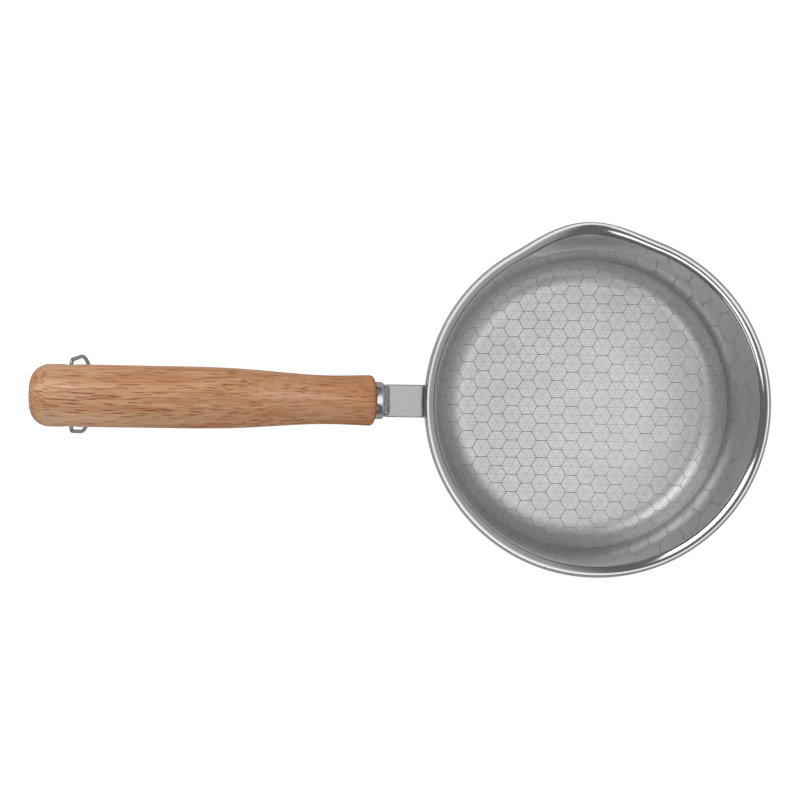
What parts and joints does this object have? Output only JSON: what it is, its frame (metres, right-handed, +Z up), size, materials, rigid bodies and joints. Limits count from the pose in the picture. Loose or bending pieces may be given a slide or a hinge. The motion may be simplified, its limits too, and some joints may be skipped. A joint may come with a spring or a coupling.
{
  "type": "frying pan",
  "caption": "Small deep stainless pan with a honeycomb-etched inside, a flared rim with a pouring lip, a turned wooden handle and a wire hanging ring.",
  "frame": {"origin": "centre of the flat base, on the surface that the pan stands on", "axes": "+X from the handle towards the bowl, +Y towards the side with the pouring lip, +Z up out of the bowl"},
  "size_m": [0.3115, 0.1519, 0.0927],
  "materials": {
    "bowl_steel": "satin stainless with a honeycomb etch inside and a polished lip",
    "base_steel": "satin magnetic stainless",
    "spreader_aluminium": "plain sheet",
    "bracket_steel": "satin brushed stainless",
    "weld_steel": "rough weld metal",
    "ferrule_steel": "polished",
    "stud_steel": "plain turned steel",
    "insert_brass": "turned",
    "handle_wood": "oiled rubberwood with short pore streaks",
    "ring_wire": "bright drawn wire"
  },
  "bodies": {
    "pan": {"bowl": "bowl_steel", "heat_spreader": "spreader_aluminium", "base_cap": "base_steel", "handle_bracket": "bracket_steel", "spot_weld_1": "weld_steel", "spot_weld_2": "weld_steel", "spot_weld_3": "weld_steel", "spot_weld_4": "weld_steel", "neck_weld_top": "weld_steel", "neck_weld_under": "weld_steel", "ferrule": "ferrule_steel", "tang_stud": "stud_steel", "threaded_insert": "insert_brass", "wooden_handle": "handle_wood"},
    "ring": {"hanging_ring": "ring_wire"}
  },
  "joints": [
    {"name": "ring_swing", "type": "hinge", "parent": "pan", "child": "ring", "pos_m": [-0.22064, 0, 0.07813], "axis": [0, 0.9992, 0.0401], "range_deg": [-63, 257]}
  ]
}
